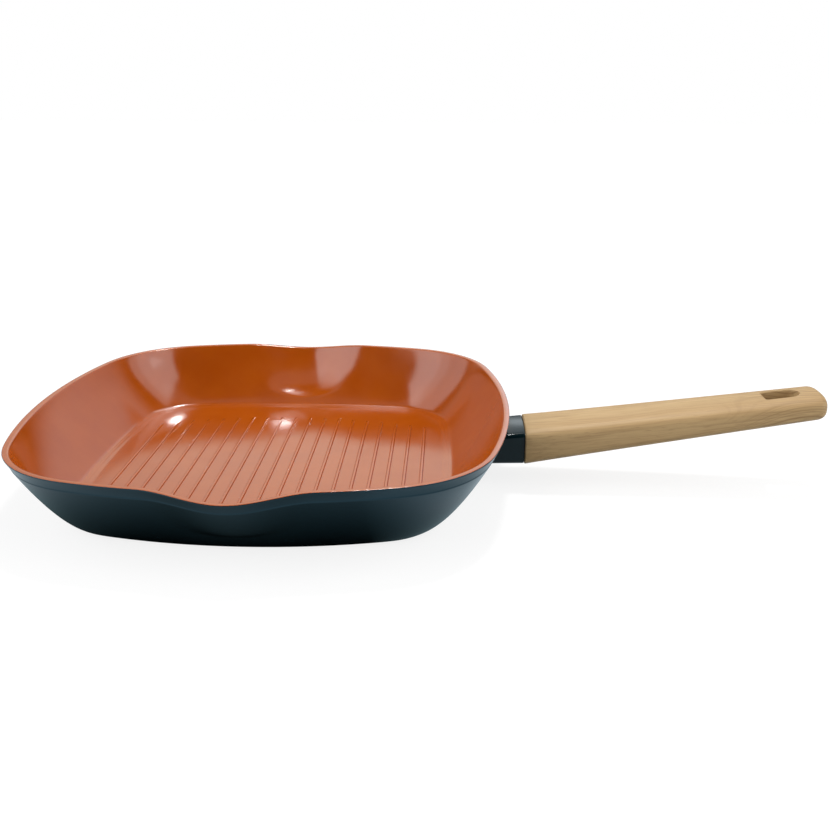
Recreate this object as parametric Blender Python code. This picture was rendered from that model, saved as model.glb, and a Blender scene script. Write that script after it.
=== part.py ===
"""Square grill pan with two pouring lips and a long wooden handle.

Sizes are in metres. The origin is the middle of the underside, X runs towards the handle,
Y runs along the ribs to the far pouring lip, and Z is up.
"""

import math

import bmesh
import bpy
from mathutils import Matrix, Vector

# Gap between pieces that touch
SEAT_GAP = 0.0003

# Rim of the pan, seen from above: four bowed sides and four round corners
RIM_HALF_WIDTH = 0.1415
RIM_SIDE_RADIUS = 0.335
RIM_CORNER_RADIUS = 0.066
RIM_HEIGHT = 0.0452
LIP_WIDTH = 0.0036
LIP_ROUNDING = 0.0009
RIM_BAND_DEPTH = 0.006
RIM_BAND_STEP = 0.0004

# Outer wall, a curve from the rim to the flat base
BASE_INSET = 0.0383
WALL_LEAN = math.radians(29.0)
WALL_LEAN_REACH = 0.0179
BASE_ROUNDING_REACH = 0.012

# Inner wall, ledge and floor
FOOT_INSET = 0.0342
FOOT_SIDE_RADIUS = 0.70
FOOT_CORNER_RADIUS = 0.039
FOOT_HEIGHT = 0.0085
INNER_LEAN_REACH = 0.016
FOOT_LEAN = math.radians(48.0)
FOOT_LEAN_REACH = 0.008
FOOT_ROUNDING = 0.0018
LEDGE_WIDTH = 0.002
LEDGE_DROP = 0.0001
FLOOR_STEP_RUN = 0.0038
FLOOR_THICKNESS = 0.0079

# Pouring lips in the near and far sides
SPOUT_HALF_WIDTH = 0.0385
SPOUT_NARROWING = 0.23
SPOUT_REACH = 0.0056
SPOUT_DIP = 0.0040
SPOUT_DEEPENING = 0.4
SPOUT_FOOT = 0.0150
SPOUT_VALLEY = 0.003
SPOUT_STRAIGHTNESS = 0.35

# Ribs on the floor
RIB_PITCH = 0.0099
RIB_HEIGHT = 0.0009
RIB_TOP_WIDTH = 0.0016
RIB_ROOT_WIDTH = 0.003
RIB_SHOULDER_SHARE = 0.8
RIB_SHOULDER_SPREAD = 1.15
RIB_CROWN_SPREAD = 0.6
RIB_END_RUN = 0.012
RIB_TIP_SHARE = 0.15
RIB_END_MARGIN = 0.0209
RIB_SIDE_MARGIN = 0.012
RIB_FIELD_RADIUS = 0.255
RIB_ROOT_DEPTH = 0.0006

# Perforated disc in the underside
DISC_RADIUS = 0.086
DISC_THICKNESS = 0.0006
DISC_HOLE_RADIUS = 0.0028
DISC_HOLE_SPACING = 0.0168
DISC_FIRST_RING = 0.034
DISC_RING_STEP = 0.0145
DISC_RING_COUNT = 3

# Line of the handle, from the joint between collar and grip
HANDLE_DROP = 0.0213
HANDLE_RISE = math.radians(8.5)
COLLAR_LENGTH = 0.0213

# Collar between the pan and the grip
COLLAR_HALF_WIDTH = 0.0186
COLLAR_HALF_HEIGHT = 0.0098
COLLAR_CORNER_RADIUS = 0.0024
COLLAR_WALL = 0.0022
COLLAR_END_WALL = 0.003
COLLAR_TAPER = 0.0006
COLLAR_SLOPE = math.radians(3.5)
NECK_INSET = 0.001
NECK_LENGTH = 0.0026
SHADOW_GAP = 0.0004

# Lug welded to the pan
LUG_HALF_WIDTH = 0.0105
LUG_HALF_HEIGHT = 0.0055
LUG_SIDE_CLEARANCE = 0.0008
LUG_FLANGE_REACH = 0.004
LUG_EDGE = 0.0008
BOSS_RADIUS = 0.006
BOSS_LENGTH = 0.012
TAPPED_DEPTH = 0.022

# Wooden grip
GRIP_LENGTH = 0.1736
GRIP_HALF_WIDTH = 0.0203
GRIP_END_HALF_WIDTH = 0.0174
GRIP_HALF_HEIGHT = 0.0114
GRIP_END_HALF_HEIGHT = 0.0076
GRIP_HEIGHT_EASE = 0.8
GRIP_SQUARENESS = 4.2
GRIP_END_SQUARENESS = 2.8
GRIP_FRONT_CHAMFER = 0.0009
GRIP_END_ROUNDING = 0.005
GRIP_END_BOW = 0.0028

# Hanging slot
SLOT_LENGTH = 0.0203
SLOT_HALF_WIDTH = 0.0066
SLOT_FROM_END = 0.0117
SLOT_CORNER_RADIUS = 0.0012
SLOT_EDGE = 0.0009

# Screw and washers that hold the grip
SCREW_RADIUS = 0.0025
SCREW_ENGAGEMENT = 0.018
SCREW_HEAD_RADIUS = 0.0044
SCREW_HEAD_HEIGHT = 0.0032
SCREW_HEAD_ROUNDING = 0.0011
SCREW_TIP_LENGTH = 0.0015
SCREW_SOCKET_RADIUS = 0.002
SCREW_SOCKET_DEPTH = 0.0018
COUNTERBORE_DEPTH = 0.014
COUNTERBORE_CLEARANCE = 0.0007
BORE_CLEARANCE = 0.0004
WASHER_RADIUS = 0.0047
FLAT_WASHER_THICKNESS = 0.001
LOCK_WASHER_THICKNESS = 0.0013
LOCK_WASHER_RADIUS = 0.0042
LOCK_WASHER_SPLIT = math.radians(12.0)

# Fineness of the curves
PLAIN_SIDE_STEPS = 8
SPOUT_SIDE_STEPS = 18
CORNER_STEPS = 9
WALL_STEPS = 9
GRIP_SECTION_STEPS = 40
GRIP_LENGTH_STEPS = 8
END_STEPS = 4
ROUND_STEPS = 24
HOLE_STEPS = 8
DISC_STEPS = 72


def clear_scene():
    for thing in list(bpy.data.objects):
        bpy.data.objects.remove(thing, do_unlink=True)


def finish_material(name, colour, roughness, metallic=0.0):
    material = bpy.data.materials.new(name)
    material.use_nodes = True
    shader = material.node_tree.nodes["Principled BSDF"]
    shader.inputs["Base Color"].default_value = (*colour, 1.0)
    shader.inputs["Roughness"].default_value = roughness
    shader.inputs["Metallic"].default_value = metallic
    material.diffuse_color = (*colour, 1.0)
    return material


def coating_material():
    return finish_material("orange_ceramic_coating", (0.56, 0.13, 0.02), 0.22)


def lacquer_material():
    return finish_material("black_lacquer", (0.012, 0.016, 0.02), 0.3)


def wood_material():
    return finish_material("oiled_beech", (0.62, 0.4, 0.2), 0.55)


def steel_material():
    return finish_material("stainless_steel", (0.6, 0.6, 0.58), 0.32, 1.0)


def aluminium_material():
    return finish_material("cast_aluminium", (0.66, 0.67, 0.68), 0.45, 1.0)


def gloss_black_material():
    return finish_material("gloss_black_enamel", (0.01, 0.013, 0.016), 0.12)


def curve_point(controls, share):
    """Point of a Bezier curve through any number of controls of any dimension."""
    points = [tuple(control) for control in controls]
    while len(points) > 1:
        pairs = zip(points, points[1:])
        points = [tuple(a + (b - a) * share for a, b in zip(p, q)) for p, q in pairs]
    return points[0]


def curve_points(controls, steps):
    return [curve_point(controls, step / steps) for step in range(steps + 1)]


def wall_controls():
    """Outer wall as inset from the rim and height, from the rim down to the base."""
    lean = (math.sin(WALL_LEAN) * WALL_LEAN_REACH, RIM_HEIGHT - math.cos(WALL_LEAN) * WALL_LEAN_REACH)
    return [(0.0, RIM_HEIGHT), lean, (BASE_INSET - BASE_ROUNDING_REACH, 0.0), (BASE_INSET, 0.0)]


def wall_inset(height):
    """Inset of the outer wall from the rim at a height."""
    controls = wall_controls()
    low, high = 0.0, 1.0
    for _ in range(40):
        middle = (low + high) / 2
        if curve_point(controls, middle)[1] > height:
            low = middle
        else:
            high = middle
    return curve_point(controls, low)[0]


def rounded_square(half_width, side_radius, corner_radius):
    """Anticlockwise outline of a square with bowed sides, with more points where the lips are."""
    side_centre = side_radius - half_width
    reach = side_radius - corner_radius
    corner_centre = (math.sqrt(2 * reach ** 2 - side_centre ** 2) - side_centre) / 2
    side_angle = math.atan2(corner_centre, corner_centre + side_centre)
    corner_angle = math.pi / 2 - 2 * side_angle
    points = []
    for quarter in range(4):
        turn = Matrix.Rotation(quarter * math.pi / 2, 2)
        steps = SPOUT_SIDE_STEPS if quarter % 2 else PLAIN_SIDE_STEPS
        for step in range(steps):
            angle = side_angle * (2 * step / steps - 1)
            point = Vector((math.cos(angle), math.sin(angle))) * side_radius
            points.append(turn @ (point - Vector((side_centre, 0.0))))
        for step in range(CORNER_STEPS):
            angle = side_angle + corner_angle * step / CORNER_STEPS
            point = Vector((math.cos(angle), math.sin(angle))) * corner_radius
            points.append(turn @ (point + Vector((corner_centre, corner_centre))))
    return points


def pull_spout(point):
    """Flare a wall point outwards and down where the pouring lips are."""
    x, y, z = point
    up = max(z - SPOUT_FOOT, 0.0) / (RIM_HEIGHT - SPOUT_FOOT)
    half_width = SPOUT_HALF_WIDTH * up ** SPOUT_NARROWING
    off_valley = math.hypot(x, SPOUT_VALLEY) - SPOUT_VALLEY
    if off_valley >= half_width:
        return point
    share = off_valley / half_width
    wave = (1 + math.cos(math.pi * share)) / 2
    strength = (wave + (1 - share - wave) * SPOUT_STRAIGHTNESS) * up ** SPOUT_DEEPENING
    return Vector((x, y + math.copysign(SPOUT_REACH * strength, y), z - SPOUT_DIP * strength))


def pan_ring(station):
    """Ring of points for a station: half width, side radius, corner radius, height."""
    half_width, side_radius, corner_radius, height = station
    outline = rounded_square(half_width, side_radius, corner_radius)
    return [pull_spout(Vector((point.x, point.y, height))) for point in outline]


def inset_station(inset, height):
    """Station parallel to the rim, at an inset from it."""
    return (RIM_HALF_WIDTH - inset, RIM_SIDE_RADIUS - inset, RIM_CORNER_RADIUS - inset, height)


def outer_stations():
    """Stations of the outside, from the base edge to the top of the lip."""
    step_height = RIM_HEIGHT - RIM_BAND_DEPTH
    stations = []
    for inset, height in reversed(curve_points(wall_controls(), WALL_STEPS)):
        if height < step_height - RIM_BAND_STEP:
            stations.append(inset_station(inset, height))
    stations.append(inset_station(wall_inset(step_height), step_height))
    band_foot = step_height + RIM_BAND_STEP
    stations.append(inset_station(wall_inset(band_foot) + RIM_BAND_STEP, band_foot))
    band_top = RIM_HEIGHT - LIP_ROUNDING
    corner = inset_station(RIM_BAND_STEP, RIM_HEIGHT)
    top = inset_station(RIM_BAND_STEP + LIP_ROUNDING, RIM_HEIGHT)
    side = inset_station(wall_inset(band_top) + RIM_BAND_STEP, band_top)
    stations.extend(curve_points([side, corner, top], END_STEPS))
    return stations


def foot_station():
    half_width = RIM_HALF_WIDTH - FOOT_INSET
    return (half_width, FOOT_SIDE_RADIUS, FOOT_CORNER_RADIUS, FOOT_HEIGHT)


def floor_half_width():
    return RIM_HALF_WIDTH - FOOT_INSET - LEDGE_WIDTH - FLOOR_STEP_RUN


def shifted(station, half_width, height):
    """Copy of a station moved in or out and up or down."""
    return (station[0] + half_width, station[1] + half_width, station[2] + half_width, station[3] + height)


def inner_stations():
    """Stations of the inside, from the lip to the edge of the floor."""
    lip_inset = RIM_BAND_STEP + LIP_WIDTH
    top = inset_station(lip_inset - LIP_ROUNDING, RIM_HEIGHT)
    corner = inset_station(lip_inset, RIM_HEIGHT)
    run, drop = math.sin(WALL_LEAN), math.cos(WALL_LEAN)
    side = shifted(corner, -run * LIP_ROUNDING, -drop * LIP_ROUNDING)
    stations = curve_points([top, corner, side], END_STEPS)
    foot = foot_station()
    foot_run, foot_drop = math.sin(FOOT_LEAN), math.cos(FOOT_LEAN)
    fillet = shifted(foot, foot_run * FOOT_ROUNDING, foot_drop * FOOT_ROUNDING)
    lean = shifted(side, -run * INNER_LEAN_REACH, -drop * INNER_LEAN_REACH)
    rest = shifted(fillet, foot_run * FOOT_LEAN_REACH, foot_drop * FOOT_LEAN_REACH)
    stations.extend(curve_points([side, lean, rest, fillet], WALL_STEPS)[1:])
    ledge_start = shifted(foot, -FOOT_ROUNDING, 0.0)
    stations.extend(curve_points([fillet, foot, ledge_start], END_STEPS - 1)[1:])
    ledge = shifted(foot, -LEDGE_WIDTH, -LEDGE_DROP)
    halfway = shifted(ledge, -FLOOR_STEP_RUN / 2, 0.0)
    floor_edge = shifted(ledge, -FLOOR_STEP_RUN, FLOOR_THICKNESS - ledge[3])
    stations.extend(curve_points([ledge, halfway, floor_edge], END_STEPS - 1))
    return stations


def bridge_rings(mesh, rings):
    """Join rings of points into a closed tube. Gives its bands of faces, with the end caps last."""
    loops = [[mesh.verts.new(point) for point in ring] for ring in rings]
    count = len(rings[0])
    bands = []
    for lower, upper in zip(loops, loops[1:]):
        band = []
        for i in range(count):
            j = (i + 1) % count
            band.append(mesh.faces.new((lower[i], lower[j], upper[j], upper[i])))
        bands.append(band)
    bands.append([mesh.faces.new(list(reversed(loops[0])))])
    bands.append([mesh.faces.new(loops[-1])])
    return bands


def new_object(name, mesh, materials, smooth_angle=math.radians(32.0)):
    """Object from a bmesh, with smooth shading broken at sharp edges."""
    bmesh.ops.recalc_face_normals(mesh, faces=mesh.faces)
    data = bpy.data.meshes.new(name)
    mesh.to_mesh(data)
    mesh.free()
    for material in materials:
        data.materials.append(material)
    data.shade_smooth()
    data.set_sharp_from_angle(angle=smooth_angle)
    thing = bpy.data.objects.new(name, data)
    bpy.context.scene.collection.objects.link(thing)
    return thing


def as_cutter(thing):
    thing.hide_render = True
    thing.display_type = "WIRE"
    return thing


def add_boolean(thing, other, operation):
    modifier = thing.modifiers.new(operation.lower() + "_" + other.name, "BOOLEAN")
    modifier.operation = operation
    modifier.solver = "EXACT"
    modifier.object = other
    return modifier


def ring_solid(name, rings, materials):
    mesh = bmesh.new()
    bridge_rings(mesh, rings)
    return new_object(name, mesh, materials)


def round_bar(name, radius, start, end, parent, steps=ROUND_STEPS):
    """Cylinder along its parent's Z axis."""
    angles = [2 * math.pi * i / steps for i in range(steps)]
    circle = [(radius * math.cos(angle), radius * math.sin(angle)) for angle in angles]
    rings = [[Vector((x, y, z)) for x, y in circle] for z in (start, end)]
    bar = ring_solid(name, rings, [])
    bar.parent = parent
    return bar


def rib_section():
    """Half-round topped cross-section of a rib, from one root to the other."""
    top, root = RIB_TOP_WIDTH / 2, RIB_ROOT_WIDTH / 2
    shoulder = (top * RIB_SHOULDER_SPREAD, RIB_HEIGHT * RIB_SHOULDER_SHARE)
    side = [(root, -RIB_ROOT_DEPTH), (root, 0.0), shoulder, (top * RIB_CROWN_SPREAD, RIB_HEIGHT)]
    return side + [(-x, z) for x, z in reversed(side)]


def rib_half_length(x):
    """Ribs end on a shallow arc, so the outer ones are shorter."""
    fall = RIB_FIELD_RADIUS - math.sqrt(RIB_FIELD_RADIUS ** 2 - x ** 2)
    return floor_half_width() - RIB_END_MARGIN - fall


def rib_ring(x, y, swell):
    """Section of a rib, drawn down towards the floor near its ends."""
    ring = []
    for across, up in rib_section():
        height = up * swell if up > 0 else up
        ring.append(Vector((x + across * (1 + swell) / 2, y, FLOOR_THICKNESS + height)))
    return ring


def rib_rings(x):
    half_length = rib_half_length(x)
    near_end = []
    for step in range(END_STEPS):
        share = step / (END_STEPS - 1)
        swell = RIB_TIP_SHARE + (1 - RIB_TIP_SHARE) * math.sin(share * math.pi / 2)
        near_end.append((half_length - RIB_END_RUN * share, swell))
    rings = [rib_ring(x, -y, swell) for y, swell in near_end]
    rings += [rib_ring(x, y, swell) for y, swell in reversed(near_end)]
    return rings


def make_ribs():
    """All the ribs as one tool, joined to the floor of the pan."""
    reach = floor_half_width() - RIB_SIDE_MARGIN
    outermost = int(reach / RIB_PITCH)
    mesh = bmesh.new()
    for index in range(-outermost, outermost + 1):
        bridge_rings(mesh, rib_rings(index * RIB_PITCH))
    return as_cutter(new_object("rib_tool", mesh, [coating_material()]))


def make_pan():
    outer = outer_stations()
    rings = [pan_ring(station) for station in outer + inner_stations()]
    mesh = bmesh.new()
    bands = bridge_rings(mesh, rings)
    base_cap = -2
    for band in bands[len(outer) - END_STEPS // 2:base_cap] + bands[-1:]:
        for face in band:
            face.material_index = 1
    pan = new_object("pan_body", mesh, [lacquer_material(), coating_material()])
    union = add_boolean(pan, make_ribs(), "UNION")
    union.material_mode = "TRANSFER"
    recess = round_bar("disc_recess", DISC_RADIUS + SEAT_GAP, -DISC_THICKNESS, DISC_THICKNESS + SEAT_GAP,
                       None, DISC_STEPS)
    add_boolean(pan, as_cutter(recess), "DIFFERENCE")
    return pan


def pan_envelope():
    """Solid of the pan's outer wall, grown by the seat gap, which cuts what sits against it."""
    stations = [shifted(station, SEAT_GAP, 0.0) for station in outer_stations()[:-END_STEPS]]
    return as_cutter(ring_solid("pan_envelope", [pan_ring(station) for station in stations], []))


def disc_hole_places():
    places = []
    for ring in range(DISC_RING_COUNT):
        radius = DISC_FIRST_RING + ring * DISC_RING_STEP
        count = int(2 * math.pi * radius / DISC_HOLE_SPACING)
        for index in range(count):
            angle = 2 * math.pi * (index + 0.5 * (ring % 2)) / count
            places.append((radius * math.cos(angle), radius * math.sin(angle)))
    return places


def make_disc():
    disc = round_bar("induction_disc", DISC_RADIUS, 0.0, DISC_THICKNESS, None, DISC_STEPS)
    disc.data.materials.append(steel_material())
    mesh = bmesh.new()
    for x, y in disc_hole_places():
        angles = [2 * math.pi * i / HOLE_STEPS for i in range(HOLE_STEPS)]
        circle = [(x + DISC_HOLE_RADIUS * math.cos(a), y + DISC_HOLE_RADIUS * math.sin(a)) for a in angles]
        levels = (-DISC_THICKNESS, 2 * DISC_THICKNESS)
        bridge_rings(mesh, [[Vector((u, v, z)) for u, v in circle] for z in levels])
    add_boolean(disc, as_cutter(new_object("disc_holes", mesh, [])), "DIFFERENCE")
    return disc


def handle_height():
    return RIM_HEIGHT - HANDLE_DROP


def wall_face():
    """Where the handle's line meets the outer wall."""
    return RIM_HALF_WIDTH - wall_inset(handle_height())


def joint_x():
    """Where the grip begins."""
    return wall_face() + COLLAR_LENGTH


def make_handle_axis():
    """Empty at the joint, with its Z axis along the handle's screw."""
    axis = bpy.data.objects.new("handle_axis", None)
    axis.location = (joint_x(), 0.0, handle_height())
    axis.rotation_euler = (0.0, math.pi / 2 - HANDLE_RISE, 0.0)
    bpy.context.scene.collection.objects.link(axis)
    bpy.context.view_layer.update()
    return axis


def rounded_rectangle(half_width, half_height, corner_radius, steps=4):
    """Outline in Y and Z, anticlockwise seen from +X."""
    points = []
    for quarter in range(4):
        sign_y = 1 if quarter in (0, 3) else -1
        sign_z = 1 if quarter in (0, 1) else -1
        for step in range(steps + 1):
            angle = math.pi / 2 * (quarter + step / steps)
            y = sign_y * (half_width - corner_radius) + corner_radius * math.cos(angle)
            z = sign_z * (half_height - corner_radius) + corner_radius * math.sin(angle)
            points.append((y, z))
    return points


def collar_centre(x):
    return handle_height() - (joint_x() - x) * math.tan(COLLAR_SLOPE)


def collar_half_height(x):
    """Half height of the collar at x, which grows slightly towards the grip."""
    return COLLAR_HALF_HEIGHT - COLLAR_TAPER * (joint_x() - x) / COLLAR_LENGTH


def collar_ring(x, inset):
    radius = max(COLLAR_CORNER_RADIUS - inset, COLLAR_CORNER_RADIUS / 4)
    outline = rounded_rectangle(COLLAR_HALF_WIDTH - inset, collar_half_height(x) - inset, radius)
    return [Vector((x, y, collar_centre(x) + z)) for y, z in outline]


def make_collar(axis, envelope):
    start = wall_face() - COLLAR_LENGTH
    shoulder = joint_x() - SHADOW_GAP
    neck_end = joint_x() + NECK_LENGTH
    rings = [collar_ring(start, 0.0), collar_ring(shoulder - NECK_INSET / 4, 0.0)]
    rings.append(collar_ring(shoulder, NECK_INSET / 4))
    rings.append(collar_ring(shoulder, NECK_INSET))
    rings.append(collar_ring(neck_end, NECK_INSET))
    collar = ring_solid("handle_collar", rings, [gloss_black_material()])
    cavity_end = neck_end - COLLAR_END_WALL
    cavity = ring_solid("collar_cavity", [collar_ring(start - COLLAR_WALL, COLLAR_WALL),
                                          collar_ring(cavity_end, COLLAR_WALL)], [])
    add_boolean(collar, as_cutter(cavity), "DIFFERENCE")
    passage = round_bar("collar_passage", BOSS_RADIUS + SEAT_GAP, -COLLAR_LENGTH, BOSS_LENGTH, axis)
    add_boolean(collar, as_cutter(passage), "DIFFERENCE")
    add_boolean(collar, envelope, "DIFFERENCE")
    return collar


def lug_block(name, end, half_width, half_height, height, materials):
    """Block from inside the pan's wall to a place along X; the wall's shape trims it later."""
    outline = rounded_rectangle(half_width, half_height, LUG_EDGE, 2)
    inside = wall_face() - COLLAR_LENGTH / 2
    rings = [[Vector((x, y, height + z)) for y, z in outline] for x in (inside, end)]
    return ring_solid(name, rings, materials)


def make_lug(axis, envelope):
    block_end = joint_x() + NECK_LENGTH - COLLAR_END_WALL - SEAT_GAP
    block_height = collar_centre((wall_face() + block_end) / 2)
    lug = lug_block("handle_lug", block_end, LUG_HALF_WIDTH, LUG_HALF_HEIGHT, block_height,
                    [aluminium_material()])
    flange_x = wall_face()
    wall_room = COLLAR_WALL + LUG_SIDE_CLEARANCE
    flange = lug_block("lug_flange", flange_x + LUG_FLANGE_REACH, COLLAR_HALF_WIDTH - wall_room,
                       collar_half_height(flange_x) - wall_room, collar_centre(flange_x), [])
    add_boolean(lug, as_cutter(flange), "UNION")
    boss = round_bar("lug_boss", BOSS_RADIUS, -COLLAR_LENGTH / 2, BOSS_LENGTH, axis)
    add_boolean(lug, as_cutter(boss), "UNION")
    tapped = round_bar("lug_tapped_hole", SCREW_RADIUS + SEAT_GAP, BOSS_LENGTH - TAPPED_DEPTH,
                       BOSS_LENGTH * 2, axis)
    add_boolean(lug, as_cutter(tapped), "DIFFERENCE")
    add_boolean(lug, envelope, "DIFFERENCE")
    return lug


def grip_section(half_width, half_height, squareness):
    """Soft rounded section in Y and Z, anticlockwise seen from +X."""
    points = []
    for step in range(GRIP_SECTION_STEPS):
        angle = 2 * math.pi * step / GRIP_SECTION_STEPS
        c, s = math.cos(angle), math.sin(angle)
        y = half_width * math.copysign(abs(c) ** (2 / squareness), c)
        z = half_height * math.copysign(abs(s) ** (2 / squareness), s)
        points.append((y, z))
    return points


def grip_size(share):
    """Half width, half height and squareness at a share of the grip's length."""
    half_width = GRIP_HALF_WIDTH + (GRIP_END_HALF_WIDTH - GRIP_HALF_WIDTH) * share
    slimming = share ** GRIP_HEIGHT_EASE
    half_height = GRIP_HALF_HEIGHT + (GRIP_END_HALF_HEIGHT - GRIP_HALF_HEIGHT) * slimming
    squareness = GRIP_SQUARENESS + (GRIP_END_SQUARENESS - GRIP_SQUARENESS) * share
    return half_width, half_height, squareness


def grip_ring(distance, inset_width, inset_height):
    half_width, half_height, squareness = grip_size(distance / GRIP_LENGTH)
    centre = handle_height() + distance * math.tan(HANDLE_RISE)
    outline = grip_section(half_width - inset_width, half_height - inset_height, squareness)
    return [Vector((joint_x() + distance, y, centre + z)) for y, z in outline]


def grip_rings():
    rings = [grip_ring(0.0, GRIP_FRONT_CHAMFER, GRIP_FRONT_CHAMFER)]
    straight = GRIP_LENGTH - GRIP_END_ROUNDING
    for step in range(GRIP_LENGTH_STEPS + 1):
        share = step / GRIP_LENGTH_STEPS
        rings.append(grip_ring(GRIP_FRONT_CHAMFER + (straight - GRIP_FRONT_CHAMFER) * share, 0.0, 0.0))
    for step in range(1, END_STEPS + 1):
        angle = math.pi / 2 * step / END_STEPS
        distance = straight + GRIP_END_ROUNDING * math.sin(angle)
        fall = 1 - math.cos(angle)
        rings.append(grip_ring(distance, GRIP_END_ROUNDING * fall, GRIP_END_BOW * fall))
    return rings


def slot_outline(grow):
    """Hanging slot in the axis's own Y and Z: square near the pan, round near the end."""
    start = slot_start() - grow
    half_width = SLOT_HALF_WIDTH + grow
    round_centre = start + SLOT_LENGTH + 2 * grow - half_width
    points = []
    for step in range(ROUND_STEPS // 2 + 1):
        angle = math.pi * (step / (ROUND_STEPS // 2) - 0.5)
        points.append((half_width * math.sin(angle), round_centre + half_width * math.cos(angle)))
    corner = SLOT_CORNER_RADIUS + grow
    for side in (1, -1):
        for step in range(3):
            angle = math.pi / 4 * (step if side > 0 else 2 - step)
            y = side * (half_width - corner + corner * math.cos(angle))
            points.append((y, start + corner - corner * math.sin(angle)))
    return points


def make_slot_cutter(axis):
    """Slot with eased edges, cut square to the handle's line."""
    middle = slot_start() + SLOT_LENGTH / 2
    surface = grip_size(middle / GRIP_LENGTH)[1]
    eased = [(2 * surface, 2 * SLOT_EDGE), (surface + SLOT_EDGE, 2 * SLOT_EDGE), (surface - SLOT_EDGE, 0.0)]
    levels = [(-x, grow) for x, grow in eased] + list(reversed(eased))
    rings = [[Vector((x, y, z)) for y, z in slot_outline(grow)] for x, grow in levels]
    slot = as_cutter(ring_solid("hanging_slot", rings, []))
    slot.parent = axis
    return slot


def slot_start():
    """Distance along the axis to the flat inner face of the slot."""
    return GRIP_LENGTH / math.cos(HANDLE_RISE) - SLOT_FROM_END - SLOT_LENGTH


def screw_seat():
    """Distance along the axis to the floor of the counterbore."""
    return slot_start() - COUNTERBORE_DEPTH


def make_grip(axis):
    grip = ring_solid("handle_grip", grip_rings(), [wood_material()])
    recess_depth = joint_x() + NECK_LENGTH + SEAT_GAP
    recess = ring_solid("neck_recess", [collar_ring(joint_x() - SHADOW_GAP, NECK_INSET - SEAT_GAP),
                                        collar_ring(recess_depth, NECK_INSET - SEAT_GAP)], [])
    add_boolean(grip, as_cutter(recess), "DIFFERENCE")
    boss_room = BOSS_LENGTH + SEAT_GAP
    boss_hole = round_bar("grip_boss_hole", BOSS_RADIUS + SEAT_GAP, -boss_room, boss_room, axis)
    add_boolean(grip, as_cutter(boss_hole), "DIFFERENCE")
    bore = round_bar("grip_bore", SCREW_RADIUS + BORE_CLEARANCE, 0.0, slot_start() + SLOT_HALF_WIDTH, axis)
    add_boolean(grip, as_cutter(bore), "DIFFERENCE")
    counterbore = round_bar("grip_counterbore", WASHER_RADIUS + COUNTERBORE_CLEARANCE, screw_seat(),
                            slot_start() + SLOT_HALF_WIDTH, axis)
    add_boolean(grip, as_cutter(counterbore), "DIFFERENCE")
    add_boolean(grip, make_slot_cutter(axis), "DIFFERENCE")
    return grip


def turned_rings(profile, steps=ROUND_STEPS):
    """Rings about Z for a profile of radius and height."""
    angles = [2 * math.pi * i / steps for i in range(steps)]
    return [[Vector((r * math.cos(a), r * math.sin(a), z)) for a in angles] for r, z in profile]


def make_screw(axis, seat):
    """Socket-head screw; its origin is the underside of its head."""
    length = seat - (BOSS_LENGTH - SCREW_ENGAGEMENT)
    tip_radius = SCREW_RADIUS - SCREW_TIP_LENGTH / 2
    side = (SCREW_HEAD_RADIUS, SCREW_HEAD_HEIGHT - SCREW_HEAD_ROUNDING)
    corner = (SCREW_HEAD_RADIUS, SCREW_HEAD_HEIGHT)
    top = (SCREW_HEAD_RADIUS - SCREW_HEAD_ROUNDING, SCREW_HEAD_HEIGHT)
    profile = [(tip_radius, -length), (SCREW_RADIUS, -length + SCREW_TIP_LENGTH), (SCREW_RADIUS, 0.0)]
    profile.append((SCREW_HEAD_RADIUS, 0.0))
    profile += curve_points([side, corner, top], 2)
    screw = ring_solid("handle_screw", turned_rings(profile), [steel_material()])
    socket = round_bar("screw_socket", SCREW_SOCKET_RADIUS, SCREW_HEAD_HEIGHT - SCREW_SOCKET_DEPTH,
                       SCREW_HEAD_HEIGHT * 2, screw, 6)
    add_boolean(screw, as_cutter(socket), "DIFFERENCE")
    screw.parent = axis
    screw.location = (0.0, 0.0, seat)
    return screw


def make_flat_washer(axis, seat):
    washer = round_bar("flat_washer", WASHER_RADIUS, 0.0, FLAT_WASHER_THICKNESS, axis)
    washer.data.materials.append(steel_material())
    washer.location = (0.0, 0.0, seat)
    hole = round_bar("washer_hole", SCREW_RADIUS + SEAT_GAP, -FLAT_WASHER_THICKNESS,
                     2 * FLAT_WASHER_THICKNESS, washer)
    add_boolean(washer, as_cutter(hole), "DIFFERENCE")
    return washer


def make_lock_washer(axis, seat):
    """Split ring of square section, pressed flat."""
    inner, outer = SCREW_RADIUS + SEAT_GAP, LOCK_WASHER_RADIUS
    corners = [(inner, 0.0), (outer, 0.0), (outer, LOCK_WASHER_THICKNESS), (inner, LOCK_WASHER_THICKNESS)]
    mesh = bmesh.new()
    rings = []
    for step in range(ROUND_STEPS + 1):
        angle = LOCK_WASHER_SPLIT / 2 + (2 * math.pi - LOCK_WASHER_SPLIT) * step / ROUND_STEPS
        rings.append([Vector((r * math.cos(angle), r * math.sin(angle), z)) for r, z in corners])
    bridge_rings(mesh, rings)
    washer = new_object("lock_washer", mesh, [steel_material()])
    washer.parent = axis
    washer.location = (0.0, 0.0, seat)
    return washer


def build():
    clear_scene()
    make_pan()
    make_disc()
    axis = make_handle_axis()
    envelope = pan_envelope()
    make_lug(axis, envelope)
    make_collar(axis, envelope)
    make_grip(axis)
    flat_seat = screw_seat() + SEAT_GAP
    lock_seat = flat_seat + FLAT_WASHER_THICKNESS + SEAT_GAP
    head_seat = lock_seat + LOCK_WASHER_THICKNESS + SEAT_GAP
    make_flat_washer(axis, flat_seat)
    make_lock_washer(axis, lock_seat)
    make_screw(axis, head_seat)


build()
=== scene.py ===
"""Looks of the square grill pan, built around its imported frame.

Lengths are in metres, X runs towards the handle, Y to the far pouring lip, and Z is up.
"""

import math

import bmesh
import bpy
import numpy as np
from mathutils import Euler, Matrix, Vector


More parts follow.
